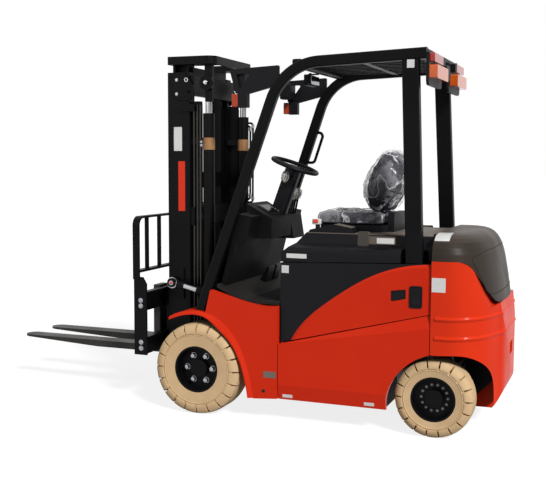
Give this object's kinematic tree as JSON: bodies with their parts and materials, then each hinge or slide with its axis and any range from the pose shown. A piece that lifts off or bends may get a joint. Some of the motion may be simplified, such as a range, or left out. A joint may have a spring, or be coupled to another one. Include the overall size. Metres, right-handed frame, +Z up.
{
  "type": "forklift truck",
  "caption": "Electric counterbalance forklift truck with tilting lift mast, raised forks, overhead guard, steered rear wheels, hinged battery hood and side doors.",
  "frame": {"origin": "centre of the bounding box on the floor, midway along the truck with its forks", "axes": "+X forward towards the fork tips, +Y to the truck's left, +Z up from the floor"},
  "size_m": [3.427, 1.166, 2.27],
  "materials": {
    "red_paint": "gloss",
    "black_paint": "satin",
    "red_casting": "gloss paint",
    "black_plastic": "grained",
    "chrome_rod": "polished",
    "tan_rubber": "matt",
    "seat_cloth": "film covered",
    "red_lens": "clear",
    "amber_lens": "clear",
    "battery_case": "matt",
    "floor_rubber": "ribbed",
    "chain_steel": "oiled"
  },
  "bodies": {
    "chassis": {"frame": "black_paint", "battery": "battery_case", "front_fenders": "red_paint", "side_panels": "red_paint", "counterweight": "red_casting", "rear_cover": "black_plastic", "floor_plate": "floor_rubber", "front_cowl": "black_plastic", "steering_column": "black_plastic", "levers": "black_paint", "pedals": "black_paint", "guard_legs": "black_paint", "guard_posts": "black_paint", "guard_roof": "black_paint", "headlamps": "black_plastic", "turn_lamps": "amber_lens", "tail_lamps": "black_plastic", "tail_lens_red": "red_lens", "tail_lens_amber": "amber_lens", "mirror": "black_plastic", "grab_handle": "black_paint", "drive_axle": "black_paint", "steer_axle": "black_paint"},
    "hood": {"battery_hood": "black_plastic", "seat_pan": "black_plastic", "seat_cushion": "seat_cloth", "seat_back": "seat_cloth"},
    "door_left": {"side_door_left": "black_paint", "door_inlay_left": "red_paint"},
    "door_right": {"side_door_right": "black_paint", "door_inlay_right": "red_paint"},
    "steering_wheel": {"steering_wheel": "black_plastic"},
    "knuckle_left": {"knuckle_left": "black_paint"},
    "knuckle_right": {"knuckle_right": "black_paint"},
    "front_wheel_left": {"front_tyre_left": "tan_rubber", "front_rim_left": "black_paint"},
    "front_wheel_right": {"front_tyre_right": "tan_rubber", "front_rim_right": "black_paint"},
    "rear_wheel_left": {"rear_tyre_left": "tan_rubber", "rear_rim_left": "black_paint"},
    "rear_wheel_right": {"rear_tyre_right": "tan_rubber", "rear_rim_right": "black_paint"},
    "outer_mast": {"outer_mast": "black_paint", "lift_cylinders": "black_paint"},
    "inner_mast": {"inner_mast": "black_paint", "lift_rods": "chrome_rod", "free_lift_barrel": "black_paint"},
    "free_lift": {"free_lift_rod": "chrome_rod", "lift_chains": "chain_steel"},
    "carriage": {"carriage": "black_paint", "backrest": "black_paint", "forks": "black_paint"},
    "tilt_barrel_left": {"tilt_barrel_left": "black_paint"},
    "tilt_barrel_right": {"tilt_barrel_right": "black_paint"},
    "tilt_rod_left": {"tilt_rod_left": "chrome_rod"},
    "tilt_rod_right": {"tilt_rod_right": "chrome_rod"}
  },
  "joints": [
    {"name": "mast_tilt", "type": "hinge", "parent": "chassis", "child": "outer_mast", "pos_m": [0.1525, 0, 0.29], "axis": [0, 1, 0], "range_deg": [-10, 6]},
    {"name": "mast_lift", "type": "slide", "parent": "outer_mast", "child": "inner_mast", "axis": [0, 0, 1], "range_m": [-0.045, 1.28]},
    {"name": "carriage_lift", "type": "slide", "parent": "inner_mast", "child": "carriage", "axis": [0, 0, 1], "range_m": [-0.24, 1.1]},
    {"name": "free_lift_stroke", "type": "slide", "parent": "inner_mast", "child": "free_lift", "axis": [0, 0, 1], "range_m": [-0.121, 0.551]},
    {"name": "hood_hinge", "type": "hinge", "parent": "chassis", "child": "hood", "pos_m": [-1.3045, 0, 1.171], "axis": [0, -1, 0], "range_deg": [0, 50]},
    {"name": "door_hinge_left", "type": "hinge", "parent": "chassis", "child": "door_left", "pos_m": [-0.4105, 0.534, 0.75], "axis": [0, 0, -1], "range_deg": [0, 85]},
    {"name": "door_hinge_right", "type": "hinge", "parent": "chassis", "child": "door_right", "pos_m": [-0.4105, -0.534, 0.75], "axis": [0, 0, 1], "range_deg": [0, 85]},
    {"name": "steering_wheel_turn", "type": "hinge", "parent": "chassis", "child": "steering_wheel", "pos_m": [-0.2945, 0, 1.569], "axis": [-0.3419, 0, 0.9397], "continuous": true},
    {"name": "steer_left", "type": "hinge", "parent": "chassis", "child": "knuckle_left", "pos_m": [-1.3425, 0.345, 0.231], "axis": [0, 0, 1], "range_deg": [-70, 70]},
    {"name": "steer_right", "type": "hinge", "parent": "chassis", "child": "knuckle_right", "pos_m": [-1.3425, -0.345, 0.231], "axis": [0, 0, 1], "range_deg": [-70, 70]},
    {"name": "front_wheel_spin_left", "type": "hinge", "parent": "chassis", "child": "front_wheel_left", "pos_m": [0.1525, 0.47, 0.29], "axis": [0, 1, 0], "continuous": true},
    {"name": "front_wheel_spin_right", "type": "hinge", "parent": "chassis", "child": "front_wheel_right", "pos_m": [0.1525, -0.47, 0.29], "axis": [0, 1, 0], "continuous": true},
    {"name": "rear_wheel_spin_left", "type": "hinge", "parent": "knuckle_left", "child": "rear_wheel_left", "pos_m": [-1.3425, 0.458, 0.231], "axis": [0, 1, 0], "continuous": true},
    {"name": "rear_wheel_spin_right", "type": "hinge", "parent": "knuckle_right", "child": "rear_wheel_right", "pos_m": [-1.3425, -0.458, 0.231], "axis": [0, 1, 0], "continuous": true},
    {"name": "tilt_barrel_turn_left", "type": "hinge", "parent": "chassis", "child": "tilt_barrel_left", "pos_m": [-0.0875, 0.38, 0.69], "axis": [0, 1, 0], "range_deg": [-7.6, 4.6]},
    {"name": "tilt_stroke_left", "type": "slide", "parent": "tilt_barrel_left", "child": "tilt_rod_left", "axis": [0.9743, 0, 0.2251], "range_m": [-0.08, 0.048]},
    {"name": "tilt_barrel_turn_right", "type": "hinge", "parent": "chassis", "child": "tilt_barrel_right", "pos_m": [-0.0875, -0.38, 0.69], "axis": [0, 1, 0], "range_deg": [-7.6, 4.6]},
    {"name": "tilt_stroke_right", "type": "slide", "parent": "tilt_barrel_right", "child": "tilt_rod_right", "axis": [0.9743, 0, 0.2251], "range_m": [-0.08, 0.048]}
  ],
  "couplings": [
    {"joint": "steer_right", "follows": "steer_left", "ratio": 1},
    {"joint": "free_lift_stroke", "follows": "carriage_lift", "ratio": 0.5},
    {"joint": "tilt_barrel_turn_left", "follows": "mast_tilt", "ratio": 0.73},
    {"joint": "tilt_stroke_left", "follows": "mast_tilt", "m_per_rad": 0.445},
    {"joint": "tilt_barrel_turn_right", "follows": "mast_tilt", "ratio": 0.73},
    {"joint": "tilt_stroke_right", "follows": "mast_tilt", "m_per_rad": 0.445}
  ]
}
